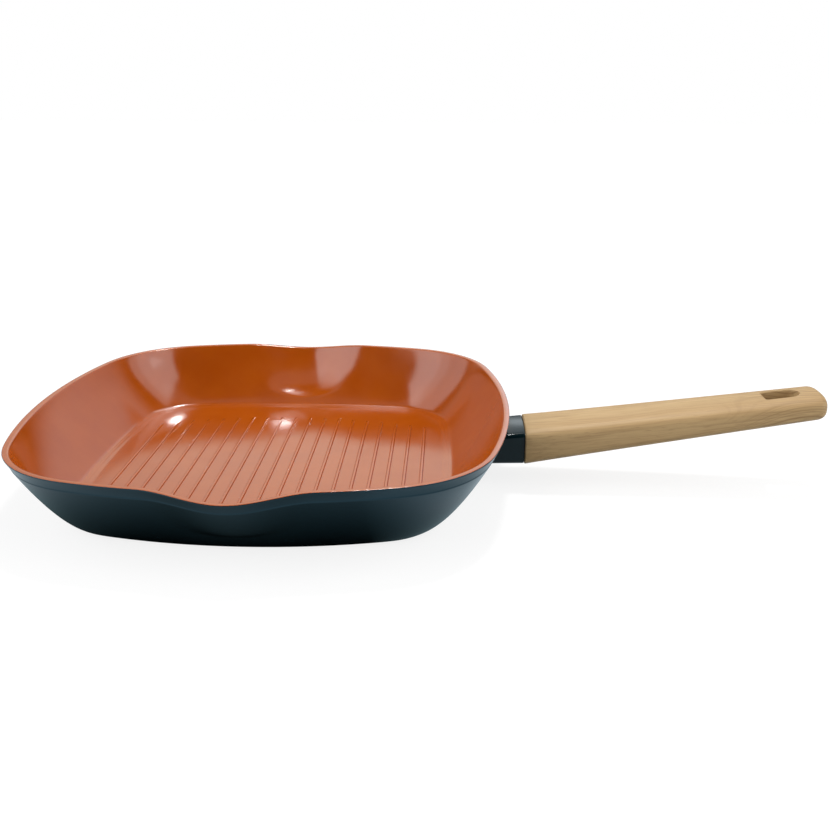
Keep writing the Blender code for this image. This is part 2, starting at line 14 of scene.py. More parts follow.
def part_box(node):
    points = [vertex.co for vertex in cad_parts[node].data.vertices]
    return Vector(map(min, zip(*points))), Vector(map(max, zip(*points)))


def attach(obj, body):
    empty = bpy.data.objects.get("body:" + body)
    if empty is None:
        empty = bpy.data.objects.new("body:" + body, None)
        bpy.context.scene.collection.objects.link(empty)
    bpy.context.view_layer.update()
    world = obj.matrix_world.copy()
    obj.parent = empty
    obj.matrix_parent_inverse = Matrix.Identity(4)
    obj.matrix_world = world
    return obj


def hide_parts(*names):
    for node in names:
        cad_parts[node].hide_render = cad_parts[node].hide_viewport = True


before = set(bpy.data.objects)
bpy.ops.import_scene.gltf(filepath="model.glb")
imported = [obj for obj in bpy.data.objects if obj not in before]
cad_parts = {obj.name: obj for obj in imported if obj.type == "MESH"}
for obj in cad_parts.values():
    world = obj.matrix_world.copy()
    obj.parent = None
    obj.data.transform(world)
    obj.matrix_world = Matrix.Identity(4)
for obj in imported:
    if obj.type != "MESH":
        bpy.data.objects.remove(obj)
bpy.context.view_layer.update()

PAN_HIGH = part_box("pan_body")[1]
GRIP_LOW, GRIP_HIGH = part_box("handle_grip")
DISC_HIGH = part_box("induction_disc")[1]

# Camera, as solved from the photograph's ribs, rim and base
IMAGE_PIXELS = 829.0
FOCAL_PIXELS = 978.0
SENSOR_WIDTH = 36.0
CAMERA_PLACE = Vector((0.1040, -0.5588, 0.2260))
CAMERA_YAW = math.radians(2.02)
CAMERA_PITCH = math.radians(18.57)
CAMERA_ROLL = math.radians(0.21)
CAMERA_CLIP = (0.01, 30.0)

# Rim of the pan: four bowed sides and four round corners, over a band that stands out a little
RIM_HEIGHT = PAN_HIGH.z
RIM_EDGE_SETBACK = 0.0007
RIM_HALF_WIDTH = PAN_HIGH.x + RIM_EDGE_SETBACK
RIM_SIDE_RADIUS = 0.335
RIM_CORNER_RADIUS = 0.066
LIP_WIDTH = 0.0036
LIP_ROUNDING = 0.0009
BAND_DEPTH = 0.006
BAND_STEP = 0.0004
BAND_FOOT_RISE = 0.0005
BAND_FOOT_SOFTNESS = 0.00008

# Outer wall, as a curve from the rim to the flat base
BASE_INSET = 0.0383
WALL_LEAN = math.radians(29.0)
WALL_LEAN_REACH = 0.0179
BASE_ROUNDING_REACH = 0.012

# Inner wall, the ledge at its foot, and the floor
FOOT_INSET = 0.0342
FOOT_SIDE_RADIUS = 0.70
FOOT_CORNER_RADIUS = 0.039
FOOT_HEIGHT = 0.0085
INNER_LEAN_REACH = 0.016
FOOT_LEAN = math.radians(48.0)
FOOT_LEAN_REACH = 0.008
FOOT_ROUNDING = 0.0018
LEDGE_WIDTH = 0.0020
LEDGE_DROP = 0.0001
FLOOR_STEP_RUN = 0.0038
FLOOR_THICKNESS = 0.0079

# Pouring lips
SPOUT_HALF_WIDTH = 0.0385
SPOUT_NARROWING = 0.23
SPOUT_REACH = 0.0056
SPOUT_DIP = 0.0040
SPOUT_DEEPENING = 0.4
SPOUT_FOOT = 0.0150
SPOUT_FOOT_SOFTNESS = 0.03
SPOUT_VALLEY = 0.003
SPOUT_STRAIGHTNESS = 0.35

# Ribs
RIB_PITCH = 0.0099
RIB_COUNT_EACH_SIDE = 9
RIB_HEIGHT = 0.0008
RIB_ROOT_HALF = 0.0011
RIB_CROWN_HALF = 0.0006
RIB_CROWN_FALL = 0.35
RIB_END_RUN = 0.013
RIB_HALF_LENGTH = 0.0806
RIB_FIELD_RADIUS = 0.255

# Fineness of the pan
SIDE_STEPS = 56
CORNER_STEPS = 24
OUTLINE_SMOOTHING = 8
WALL_STEPS = 44
WALL_TABLE_STEPS = 400
ROUND_STEPS = 6
FLOOR_STEP_STEPS = 8
RIB_FLANK_POINTS = 7
RIB_CROWN_STEPS = 8
RIB_SUPPORT = 0.00015
RIB_ROW_MARGIN = 0.001
RIB_FINE_REACH = 0.018
RIB_END_ROWS = 36
RIB_MIDDLE_ROWS = 12

# Handle
GRIP_START = GRIP_LOW.x
GRIP_END = GRIP_HIGH.x
GRIP_LENGTH = GRIP_END - GRIP_START
HANDLE_HEIGHT = 0.0239
HANDLE_RISE = math.radians(8.5)
GRIP_HALF_WIDTH = 0.0203
GRIP_END_HALF_WIDTH = 0.0174
GRIP_HALF_HEIGHT = 0.0114
GRIP_END_HALF_HEIGHT = 0.00755
GRIP_HEIGHT_EASE = 0.8
GRIP_SQUARENESS = 4.2
GRIP_END_SQUARENESS = 2.8
GRIP_FRONT_ROUNDING = 0.0009
GRIP_END_ROUNDING = 0.005
GRIP_END_BOW = 0.0028
GRIP_SECTION_STEPS = 96
GRIP_LENGTH_STEPS = 48
GRIP_FRONT_STEPS = 3
GRIP_END_STEPS = 14

# Hanging slot
SLOT_LENGTH = 0.0203
SLOT_HALF_WIDTH = 0.0066
SLOT_FROM_END = 0.0117
SLOT_START = GRIP_LENGTH / math.cos(HANDLE_RISE) - SLOT_FROM_END - SLOT_LENGTH
SLOT_CORNER_RADIUS = 0.0012
SLOT_EDGE = 0.0009
SLOT_EDGE_DEPTH = 0.0014
SLOT_ROUND_POINTS = 33
SLOT_CORNER_POINTS = 7
SLOT_EDGE_POINTS = 7

# Holes that the handle's screw and lug pass through
BOSS_HOLE_RADIUS = 0.0063
BOSS_HOLE_DEPTH = 0.0123
BORE_RADIUS = 0.0029
COUNTERBORE_RADIUS = 0.0054
COUNTERBORE_DEPTH = 0.014
BORE_STEPS = 48

# Collar, with a neck that reaches into the grip
COLLAR_HALF_WIDTH = 0.0186
COLLAR_HALF_HEIGHT = 0.0098
COLLAR_CORNER_RADIUS = 0.0024
COLLAR_LEAST_RADIUS = COLLAR_CORNER_RADIUS / 4
COLLAR_CORNER_STEPS = 8
COLLAR_CROWN = 0.14
COLLAR_CROWN_MIDDLE = 0.6
COLLAR_WALL = 0.0022
COLLAR_TAPER = 0.0006
COLLAR_SLOPE = math.radians(3.5)
COLLAR_LENGTH = 0.0213
NECK_INSET = 0.001
NECK_LENGTH = 0.0026
SHOULDER_EASE = NECK_INSET / 4
SHOULDER_EASE_SHARE = 0.3
SHADOW_GAP = 0.0004
SEAT_GAP = 0.0003

# Edges sharper than this stay sharp
SMOOTH_ANGLE = math.radians(50.0)
COLLAR_SMOOTH_ANGLE = math.radians(40.0)
GRIP_SMOOTH_ANGLE = math.radians(35.0)

# Sockets of the colour mix node
MIX_INPUTS = (6, 7)
MIX_OUTPUT = 2

# Middle values of a noise: the part of it over which colours and roughness change
COLOUR_SPAN = (0.35, 0.65)
ROUGHNESS_SPAN = (0.3, 0.7)

# Painted surfaces: mottle and relief are the scale and detail of a noise
COATING = {
    "mottle": (45.0, 4.0),
    "colours": ((0.366, 0.064, 0.0010), (0.394, 0.073, 0.0018)),
    "relief": (900.0, 2.0),
    "relief_height": 0.000012,
    "sheen_scale": 60.0,
    "roughness": (0.13, 0.18),
    "ior": 1.8,
}
LACQUER = {
    "mottle": (30.0, 4.0),
    "colours": ((0.0006, 0.0030, 0.0042), (0.0014, 0.0044, 0.0058)),
    "relief": (260.0, 2.0),
    "relief_height": 0.00001,
    "sheen_scale": 90.0,
    "roughness": (0.18, 0.22),
    "ior": 1.6,
    "tint": (0.42, 0.80, 1.0, 1.0),
}
ENAMEL = {
    "mottle": (160.0, 2.0),
    "colours": ((0.0020, 0.0100, 0.0125), (0.0032, 0.0120, 0.0150)),
    "relief": (160.0, 2.0),
    "relief_height": 0.00003,
    "sheen_scale": 300.0,
    "roughness": (0.09, 0.14),
    "ior": 1.5,
    "specular": 0.2,
}

# Wood: each pattern is a noise with a scale along and across the grip, a detail and a roughness
WOOD_TURN = (0.25, HANDLE_RISE - 0.05, 0.06)
WOOD_BEND = (8.0, 16.0, 2.0, 0.5)
WOOD_BANDS = (3.0, 110.0, 2.0, 0.4)
WOOD_STREAKS = (10.0, 620.0, 4.0, 0.62)
WOOD_FIBRES = (30.0, 1150.0, 3.0, 0.6)
WOOD_PORES = (130.0, 1300.0, 1.0, 0.4)
WOOD_BEND_Y = 0.012
WOOD_BEND_Z = 0.008
WOOD_LIGHT = (0.545, 0.372, 0.182)
WOOD_MIDDLE = (0.470, 0.307, 0.142)
WOOD_DARK = (0.316, 0.187, 0.079)
WOOD_BAND_SPAN = (0.35, 0.68)
WOOD_ROUGHNESS = (0.44, 0.58)
WOOD_RELIEF_HEIGHT = 0.00006
WOOD_STREAK_RELIEF = 0.6
WOOD_SPECULAR = 0.3
# Noise from and to, and how far the wood darkens from and to
STREAK_DARKENING = (0.48, 0.76, 0.0, 0.56)
FIBRE_DARKENING = (0.48, 0.76, 0.0, 0.55)
PORE_DARKENING = (0.66, 0.76, 0.0, 0.50)

# Growth rings of the wood, which come in towards the grip's end
RING_PITH = (-0.330, 0.012, 0.010)
RING_TILT = 0.55
RING_SCALE = 620.0
RING_BEND = 3.0
RING_SPAN = (0.46, 0.66)
RING_COLOUR = (0.375, 0.238, 0.108)
RING_FADE_IN = (0.262, 0.305)

# Metals
STEEL_COLOURS = ((0.50, 0.50, 0.48), (0.66, 0.66, 0.64))
STEEL_ROUGHNESS = (0.24, 0.38)
STEEL_RELIEF_HEIGHT = 0.00003
STEEL_TURNED_SCALE = 2600.0
STEEL_BRUSH_STRETCH = (1.0, 14.0, 14.0)
STEEL_BRUSH_SCALE = 220.0
ALUMINIUM_COLOURS = ((0.55, 0.56, 0.57), (0.68, 0.69, 0.70))
ALUMINIUM_ROUGHNESS = (0.42, 0.58)
ALUMINIUM_CLOUD_SCALE = 120.0
ALUMINIUM_SAND_SCALE = 1800.0
ALUMINIUM_RELIEF_HEIGHT = 0.00006

# Plain colours
WHITE = (1.0, 1.0, 1.0)
BLACK = (0.0, 0.0, 0.0)

# Floor: its shade to the camera, what it throws back, and how far it is lifted near and far
FLOOR_REACH = 6.0
FLOOR_SHADE = 0.22
FLOOR_CLOUD_SHADE = FLOOR_SHADE * 1.004
FLOOR_CLOUD = (3.0, 2.0)
FLOOR_BOUNCE = 0.45
FLOOR_ROUGHNESS = 0.9
FLOOR_LIFT = (0.84, 1.0)
FLOOR_LIFT_SPAN = (0.5, 1.6)

# Floor as reflections see it, with painted shade and light: a painted shadow dark under the pan,
# paler away from it, and painted light towards the handle
PAINTED_SHADE_SQUARE = 0.030
PAINTED_SHADE_SPAN = (0.074, 0.140)
PAINTED_SHADE_POWER = 2.0
PAINTED_SIDE_LIGHT = 0.62
PAINTED_SIDE_LIGHT_SPAN = (0.066, 0.151)
MIRROR_LIMIT = 0.80
# Tints of the painted shadow and of the painted light
MIRROR_TINT_SPAN = (0.05, 0.6)
PAINTED_SHADE_TINT = (0.48, 0.82, 0.91)
PAINTED_LIGHT_TINT = (0.80, 0.96, 1.05)

# Even light of the room, and the backdrop that only reflections see
AMBIENT = 0.22
BACKDROP_GLOSS = 0.72
BACKDROP_SIDES = (0.34, 0.86)
BACKDROP_FOOT = (0.06, 0.25)
BACKDROP_WARM = (1.0, 0.97, 0.86)
BACKDROP_COOL = (0.86, 0.95, 1.0)
BACKDROP_COOL_SPAN = (-0.02, 0.08)
# Way to the middle, angle from there to the edge, and brightness of each pale patch
BACKDROP_CORES = (
    ((-0.0495, 0.944, 0.3256), 22.0, 0.42),
    ((0.124, 0.940, 0.317), 7.0, 0.8),
)

# Lights; brightness 1 is white
SOFTBOX_DISTANCE = 1.6
LIGHT_TARGET = Vector((0.05, 0.0, 0.02))
# Name, then in degrees azimuth from the far side towards the handle, elevation, width and
# height, then brightness
SOFTBOXES = (
    ("right_core", 113.0, 26.0, 20.0, 20.0, 1.2),
    ("top_box", 14.0, 58.0, 30.0, 24.0, 2.0),
    ("top_lamp", 14.0, 71.0, 7.0, 7.0, 95.0),
    ("overhead", 180.0, 84.0, 70.0, 14.0, 0.26),
)
# Name, X of its plane, Y from and to, Z from and to, brightness
PANELS = (
    ("left_panel", -1.60, -2.20, 0.84, 0.04, 3.95, 1.10),
    ("left_middle", -1.59, -2.20, -0.10, 0.04, 3.95, 0.40),
    ("left_near", -1.58, -2.20, -0.52, 0.04, 3.95, 0.45),
    ("right_panel", 1.60, -1.72, 0.65, 0.04, 2.99, 1.00),
    ("right_middle", 1.59, -1.72, 0.26, 0.04, 2.99, 0.55),
)


def bezier(controls, steps):
    """Points of a Bezier curve through any number of controls, as an array."""
    points = []
    for step in range(steps + 1):
        share = step / steps
        level = [np.array(control, float) for control in controls]
        while len(level) > 1:
            level = [a + (b - a) * share for a, b in zip(level, level[1:])]
        points.append(level[0])
    return np.array(points)


def smoothstep(value):
    """Smooth step from 0 to 1."""
    value = np.clip(value, 0.0, 1.0)
    return value * value * (3 - 2 * value)


def finished_object(name, mesh, materials, smooth_angle):
    """Object from a bmesh, shaded smooth, with its faces pointing out."""
    bmesh.ops.recalc_face_normals(mesh, faces=mesh.faces)
    data = bpy.data.meshes.new(name)
    mesh.to_mesh(data)
    mesh.free()
    for material in materials:
        data.materials.append(material)
    data.shade_smooth()
    data.set_sharp_from_angle(angle=smooth_angle)
    thing = bpy.data.objects.new(name, data)
    bpy.context.scene.collection.objects.link(thing)
    return thing


def mesh_object(name, points, faces, materials, smooth_angle=SMOOTH_ANGLE):
    """Object from points and faces."""
    mesh = bmesh.new()
    verts = [mesh.verts.new(point) for point in points]
    for face in faces:
        mesh.faces.new([verts[i] for i in face])
    return finished_object(name, mesh, materials, smooth_angle)


def ring_faces(ring_count, ring_size, closed=False):
    """Quads between rings of points that are stored one after another."""
    faces = []
    for ring in range(ring_count if closed else ring_count - 1):
        start = ring * ring_size
        following = (ring + 1) % ring_count * ring_size
        for i in range(ring_size):
            j = (i + 1) % ring_size
            faces.append((start + i, start + j, following + j, following + i))
    return faces


def capped_faces(ring_count, ring_size):
    """Quads between rings, with a face over the first and the last one."""
    faces = ring_faces(ring_count, ring_size)
    faces.append(tuple(range(ring_size))[::-1])
    faces.append(tuple(range((ring_count - 1) * ring_size, ring_count * ring_size)))
    return faces


def rounded_square(half_width, side_radius, corner_radius):
    """Anticlockwise outline of a square with bowed sides and round corners, eased at the joins."""
    side_centre = side_radius - half_width
    reach = side_radius - corner_radius
    corner_centre = (math.sqrt(2 * reach ** 2 - side_centre ** 2) - side_centre) / 2
    side_angle = math.atan2(corner_centre, corner_centre + side_centre)
    points = []
    for step in range(SIDE_STEPS):
        angle = side_angle * (2 * step / SIDE_STEPS - 1)
        points.append((side_radius * math.cos(angle) - side_centre,
                       side_radius * math.sin(angle)))
    for step in range(CORNER_STEPS):
        angle = side_angle + (math.pi / 2 - 2 * side_angle) * step / CORNER_STEPS
        points.append((corner_radius * math.cos(angle) + corner_centre,
                       corner_radius * math.sin(angle) + corner_centre))
    quarter = np.array(points)
    outline = []
    for _ in range(4):
        outline.append(quarter)
        quarter = np.stack([-quarter[:, 1], quarter[:, 0]], 1)
    outline = np.concatenate(outline)
    for _ in range(OUTLINE_SMOOTHING):
        outline = (np.roll(outline, 1, 0) + 2 * outline + np.roll(outline, -1, 0)) / 4
    return outline


def pull_spouts(ring):
    """Flare the points of a ring outwards and down at the pouring lips."""
    x, y, z = ring.T
    up = (z - SPOUT_FOOT) / (RIM_HEIGHT - SPOUT_FOOT)
    soft_up = (up + np.sqrt(up ** 2 + SPOUT_FOOT_SOFTNESS ** 2)) / 2
    half_width = SPOUT_HALF_WIDTH * soft_up ** SPOUT_NARROWING
    off = np.sqrt(x ** 2 + SPOUT_VALLEY ** 2) - SPOUT_VALLEY
    share = np.clip(off / half_width, 0, 1)
    wave = (1 + np.cos(np.pi * share)) / 2
    across = (1 - SPOUT_STRAIGHTNESS) * wave + SPOUT_STRAIGHTNESS * (1 - share)
    fading = smoothstep(up / (3 * SPOUT_FOOT_SOFTNESS) + 1)
    strength = across * soft_up ** SPOUT_DEEPENING * fading
    return np.stack([x, y + np.sign(y) * SPOUT_REACH * strength, z - SPOUT_DIP * strength], 1)


def pan_ring(station):
    """Ring for a station, which is a half width, side radius, corner radius and height."""
    outline = rounded_square(*station[:3])
    return pull_spouts(np.column_stack([outline, np.full(len(outline), station[3])]))


def rim_inset(inset, height):
    """Station parallel to the rim."""
    return np.array([RIM_HALF_WIDTH - inset, RIM_SIDE_RADIUS - inset,
                     RIM_CORNER_RADIUS - inset, height])


def moved(station, inwards, down):
    """Station moved parallel to itself."""
    return station - np.array([inwards, inwards, inwards, down])


def wall_curve(steps):
    """Outer wall as inset and height, from the rim down to the base."""
    lean = (math.sin(WALL_LEAN) * WALL_LEAN_REACH,
            RIM_HEIGHT - math.cos(WALL_LEAN) * WALL_LEAN_REACH)
    rounding = (BASE_INSET - BASE_ROUNDING_REACH, 0)
    return bezier([(0, RIM_HEIGHT), lean, rounding, (BASE_INSET, 0)], steps)


def wall_inset(height):
    """Inset of the outer wall at a height."""
    curve = wall_curve(WALL_TABLE_STEPS)
    return float(np.interp(-height, -curve[:, 1], curve[:, 0]))


def outer_stations():
    """Stations from the edge of the base to the outer edge of the lip."""
    band_foot = RIM_HEIGHT - BAND_DEPTH
    stations = [rim_inset(inset, height) for inset, height in wall_curve(WALL_STEPS)[::-1]
                if height < band_foot - 2 * BAND_FOOT_RISE]
    below = rim_inset(wall_inset(band_foot - BAND_FOOT_RISE), band_foot - BAND_FOOT_RISE)
    above = rim_inset(wall_inset(band_foot) + BAND_STEP, band_foot)
    slope = (above - below) * BAND_FOOT_SOFTNESS / BAND_FOOT_RISE
    fall = math.tan(WALL_LEAN) * BAND_FOOT_SOFTNESS
    stations += [moved(below, fall, BAND_FOOT_SOFTNESS), below + slope, above - slope,
                 moved(above, -fall, -BAND_FOOT_SOFTNESS)]
    band_top = RIM_HEIGHT - LIP_ROUNDING
    side = rim_inset(wall_inset(band_top) + BAND_STEP, band_top)
    peak = rim_inset(BAND_STEP, RIM_HEIGHT)
    top = rim_inset(BAND_STEP + LIP_ROUNDING, RIM_HEIGHT)
    stations += list(bezier([side, peak, top], ROUND_STEPS))
    return stations


def fall_stations(start, run, drop, steps):
    """Stations of a smooth fall inwards from a station, which is left out itself."""
    stations = []
    for step in range(1, steps + 1):
        share = step / steps
        stations.append(moved(start, run * share, drop * smoothstep(share)))
    return stations


def inner_stations():
    """Stations from the inner edge of the lip to the edge of the floor."""
    lip_inset = BAND_STEP + LIP_WIDTH
    top = rim_inset(lip_inset - LIP_ROUNDING, RIM_HEIGHT)
    corner = rim_inset(lip_inset, RIM_HEIGHT)
    run, drop = math.sin(WALL_LEAN), math.cos(WALL_LEAN)
    side = moved(corner, run * LIP_ROUNDING, drop * LIP_ROUNDING)
    stations = list(bezier([top, corner, side], ROUND_STEPS))
    foot = np.array([RIM_HALF_WIDTH - FOOT_INSET, FOOT_SIDE_RADIUS, FOOT_CORNER_RADIUS,
                     FOOT_HEIGHT])
    foot_run, foot_drop = math.sin(FOOT_LEAN), math.cos(FOOT_LEAN)
    fillet = moved(foot, -foot_run * FOOT_ROUNDING, -foot_drop * FOOT_ROUNDING)
    lean = moved(side, run * INNER_LEAN_REACH, drop * INNER_LEAN_REACH)
    rest = moved(fillet, -foot_run * FOOT_LEAN_REACH, -foot_drop * FOOT_LEAN_REACH)
    stations += list(bezier([side, lean, rest, fillet], WALL_STEPS))[1:]
    ledge_start = moved(foot, FOOT_ROUNDING, 0)
    stations += list(bezier([fillet, foot, ledge_start], ROUND_STEPS))[1:]
    ledge = moved(foot, LEDGE_WIDTH, LEDGE_DROP)
    stations.append(ledge)
    stations += fall_stations(ledge, FLOOR_STEP_RUN, ledge[3] - FLOOR_THICKNESS,
                              FLOOR_STEP_STEPS)
    stations.append(moved(stations[-1], FLOOR_STEP_RUN / 3, 0))
    return stations


def rib_columns():
    """Places across the floor of the grid's columns, close together on the ribs."""
    flank = np.linspace(RIB_ROOT_HALF, RIB_CROWN_HALF, RIB_FLANK_POINTS)
    flank = np.concatenate([[RIB_ROOT_HALF + RIB_SUPPORT], flank])
    crown = np.linspace(-RIB_CROWN_HALF, RIB_CROWN_HALF, RIB_CROWN_STEPS + 1)[1:-1]
    across = np.concatenate([-flank, crown, flank[::-1]])
    columns = []
    for index in range(-RIB_COUNT_EACH_SIDE, RIB_COUNT_EACH_SIDE + 1):
        columns.extend(index * RIB_PITCH + across)
        columns.append((index + 0.5) * RIB_PITCH)
    first, last = columns[0] - RIB_ROOT_HALF, columns[-2] + RIB_ROOT_HALF
    return np.array([first] + columns[:-1] + [last])


def rib_rows():
    """Places along the floor of the grid's rows, close together at the ribs' ends."""
    outermost = RIB_HALF_LENGTH + RIB_ROW_MARGIN
    innermost = RIB_HALF_LENGTH - RIB_END_RUN - RIB_FINE_REACH
    ends = np.linspace(outermost, innermost, RIB_END_ROWS)
    middle = np.linspace(ends[-1], -ends[-1], RIB_MIDDLE_ROWS)[1:-1]
    return np.concatenate([-ends, middle[::-1], ends[::-1]])


def rib_height(x, y):
    """Height of the ribs over the floor, with rounded crowns, drawn out to nothing at both ends."""
    nearest = np.round(x / RIB_PITCH)
    off = np.abs(x - nearest * RIB_PITCH)
    side = smoothstep((RIB_ROOT_HALF - off) / (RIB_ROOT_HALF - RIB_CROWN_HALF))
    side = side * (1 - RIB_CROWN_FALL * (off / RIB_ROOT_HALF) ** 2)
    fall = RIB_FIELD_RADIUS - np.sqrt(RIB_FIELD_RADIUS ** 2 - (nearest * RIB_PITCH) ** 2)
    run = (RIB_HALF_LENGTH - fall - np.abs(y)) / RIB_END_RUN
    return RIB_HEIGHT * side * np.sin(np.clip(run, 0, 1) * np.pi / 2)


def loop_edges(mesh, loop):
    """Edges of a closed loop of vertices."""
    return [mesh.edges.get(pair) for pair in zip(loop, loop[1:] + loop[:1])]


def add_ribbed_floor(mesh, edge_verts, material_index):
    """Fill the floor inside a ring of vertices with the ribbed grid and a flat margin."""
    columns = rib_columns()
    grid = []
    for y in rib_rows():
        heights = FLOOR_THICKNESS + rib_height(columns, np.full(len(columns), y))
        grid.append([mesh.verts.new((x, y, z)) for x, z in zip(columns, heights)])
    faces = [mesh.faces.new((lower[i], lower[i + 1], upper[i + 1], upper[i]))
             for lower, upper in zip(grid, grid[1:]) for i in range(len(columns) - 1)]
    last_column = [row[-1] for row in grid[1:-1]]
    first_column = [row[0] for row in grid[1:-1]]
    border = grid[0] + last_column + grid[-1][::-1] + first_column[::-1]
    edges = loop_edges(mesh, border) + loop_edges(mesh, edge_verts)
    filled = bmesh.ops.triangle_fill(mesh, edges=edges, use_beauty=True)
    faces += [item for item in filled["geom"] if isinstance(item, bmesh.types.BMFace)]
    for face in faces:
        face.material_index = material_index


def recess_rings(ring):
    """Rings of the recess round the induction disc, at its top and at its mouth."""
    angles = np.arctan2(ring[:, 1], ring[:, 0])
    radius = DISC_HIGH.x + SEAT_GAP
    circle = np.column_stack([radius * np.cos(angles), radius * np.sin(angles)])
    return [np.column_stack([circle, np.full(len(ring), z)])
            for z in (DISC_HIGH.z + SEAT_GAP, 0.0)]


def make_pan():
    """Pan with lacquer outside, up to the middle of its outer rounding, and coating inside."""
    lacquer, coating = 0, 1
    outer = [pan_ring(station) for station in outer_stations()]
    inner = [pan_ring(station) for station in inner_stations()]
    outside = recess_rings(outer[0]) + outer
    rings = outside + inner
    size = len(rings[0])
    lacquered = (len(outside) - ROUND_STEPS // 2) * size
    mesh = bmesh.new()
    verts = [mesh.verts.new(point) for ring in rings for point in ring]
    for index, corners in enumerate(ring_faces(len(rings), size)):
        face = mesh.faces.new([verts[i] for i in corners])
        face.material_index = lacquer if index < lacquered else coating
    mesh.faces.new(verts[:size][::-1])
    add_ribbed_floor(mesh, verts[-size:], coating)
    materials = [paint_material("blue_black_lacquer", **LACQUER),
                 paint_material("orange_ceramic", **COATING)]
    pan = finished_object("pan_shell", mesh, materials, SMOOTH_ANGLE)
    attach(pan, "root")
    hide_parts("pan_body")


def rounded_rectangle(half_width, half_height, corner_radius, steps):
    """Outline in Y and Z, with points along its top and underside too."""
    flat_width, flat_height = half_width - corner_radius, half_height - corner_radius
    points = []
    for quarter in range(4):
        sign_y = 1 if quarter in (0, 3) else -1
        sign_z = 1 if quarter in (0, 1) else -1
        for step in range(steps + 1):
            angle = math.pi / 2 * (quarter + step / steps)
            points.append((sign_y * flat_width + corner_radius * math.cos(angle),
                           sign_z * flat_height + corner_radius * math.sin(angle)))
        if quarter in (0, 2):
            for share in np.linspace(1, -1, 2 * steps + 1)[1:-1]:
                points.append((sign_y * share * flat_width, sign_z * half_height))
    return np.array(points)


def wall_surface_x(y, z):
    """Where the outer wall lies at a place on the handle's side of the pan."""
    inset = wall_inset(z)
    side_radius = RIM_SIDE_RADIUS - inset
    return RIM_HALF_WIDTH - inset - (side_radius - math.sqrt(side_radius ** 2 - y ** 2))


def collar_section(x, inset):
    """Upright section of the collar, crowned on its top and underside."""
    back = GRIP_START - x
    centre = HANDLE_HEIGHT - back * math.tan(COLLAR_SLOPE)
    half_height = COLLAR_HALF_HEIGHT - COLLAR_TAPER * back / COLLAR_LENGTH - inset
    radius = max(COLLAR_CORNER_RADIUS - inset, COLLAR_LEAST_RADIUS)
    outline = rounded_rectangle(COLLAR_HALF_WIDTH - inset, half_height, radius,
                                COLLAR_CORNER_STEPS)
    y, z = outline.T
    z = z * (1 + COLLAR_CROWN * (COLLAR_CROWN_MIDDLE - (y / COLLAR_HALF_WIDTH) ** 2))
    return np.column_stack([np.full(len(y), x), y, z + centre])


def collar_wall_ring(inset):
    """Ring that follows the pan's wall, clear of it by two seat gaps."""
    ring = collar_section(GRIP_START - COLLAR_LENGTH, inset)
    for point in ring:
        point[0] = wall_surface_x(point[1], point[2]) + 2 * SEAT_GAP
    return ring


def make_collar():
    """Hollow collar from the pan's wall to the end of the neck in the grip."""
    shoulder = GRIP_START - SHADOW_GAP
    neck_end = GRIP_START + NECK_LENGTH
    part_ease = SHOULDER_EASE * SHOULDER_EASE_SHARE
    sections = ((shoulder - SHOULDER_EASE, 0.0), (shoulder - part_ease, part_ease),
                (shoulder, SHOULDER_EASE), (shoulder, NECK_INSET), (neck_end, NECK_INSET),
                (neck_end, COLLAR_WALL))
    rings = [collar_wall_ring(0.0)] + [collar_section(*section) for section in sections]
    rings.append(collar_wall_ring(COLLAR_WALL))
    faces = ring_faces(len(rings), len(rings[0]), closed=True)
    collar = mesh_object("collar_shell", np.concatenate(rings), faces,
                         [paint_material("gloss_black", **ENAMEL)], COLLAR_SMOOTH_ANGLE)
    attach(collar, "root")
    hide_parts("handle_collar")


def between(start, end, share):
    """Value between a start and an end."""
    return start + (end - start) * share


def grip_half_height(share):
    """Half height of the grip at a share of its length."""
    return between(GRIP_HALF_HEIGHT, GRIP_END_HALF_HEIGHT, share ** GRIP_HEIGHT_EASE)


def grip_ring(distance, inset_width, inset_height):
    """Upright section of the grip, rounder towards its end."""
    share = distance / GRIP_LENGTH
    half_width = between(GRIP_HALF_WIDTH, GRIP_END_HALF_WIDTH, share) - inset_width
    half_height = grip_half_height(share) - inset_height
    power = 2 / between(GRIP_SQUARENESS, GRIP_END_SQUARENESS, share)
    angles = np.linspace(0, 2 * np.pi, GRIP_SECTION_STEPS, endpoint=False)
    c, s = np.cos(angles), np.sin(angles)
    y = half_width * np.sign(c) * np.abs(c) ** power
    z = half_height * np.sign(s) * np.abs(s) ** power
    centre = HANDLE_HEIGHT + distance * math.tan(HANDLE_RISE)
    return np.column_stack([np.full(len(y), GRIP_START + distance), y, z + centre])


def grip_rings():
    """Sections of the grip, with its front edge and its end rounded."""
    rings = []
    for step in range(GRIP_FRONT_STEPS + 1):
        angle = math.pi / 2 * step / GRIP_FRONT_STEPS
        inset = GRIP_FRONT_ROUNDING * (1 - math.sin(angle))
        rings.append(grip_ring(GRIP_FRONT_ROUNDING * (1 - math.cos(angle)), inset, inset))
    straight = GRIP_LENGTH - GRIP_END_ROUNDING
    for distance in np.linspace(GRIP_FRONT_ROUNDING, straight, GRIP_LENGTH_STEPS)[1:]:
        rings.append(grip_ring(distance, 0, 0))
    for step in range(1, GRIP_END_STEPS + 1):
        angle = math.pi / 2 * step / GRIP_END_STEPS
        fall = 1 - math.cos(angle)
        distance = straight + GRIP_END_ROUNDING * math.sin(angle)
        rings.append(grip_ring(distance, GRIP_END_ROUNDING * fall, GRIP_END_BOW * fall))
    return rings


def handle_frame():
    """Matrix of the handle's line: its Z runs along the screw and its X points down."""
    turn = Euler((0.0, math.pi / 2 - HANDLE_RISE, 0.0)).to_matrix().to_4x4()
    return Matrix.Translation((GRIP_START, 0.0, HANDLE_HEIGHT)) @ turn


def cutter(name, rings, matrix):
    """Solid between rings that is only there to be cut away."""
    faces = capped_faces(len(rings), len(rings[0]))
    thing = mesh_object(name, np.concatenate(rings), faces, [])
    thing.hide_render = True
    thing.matrix_world = matrix
    return thing


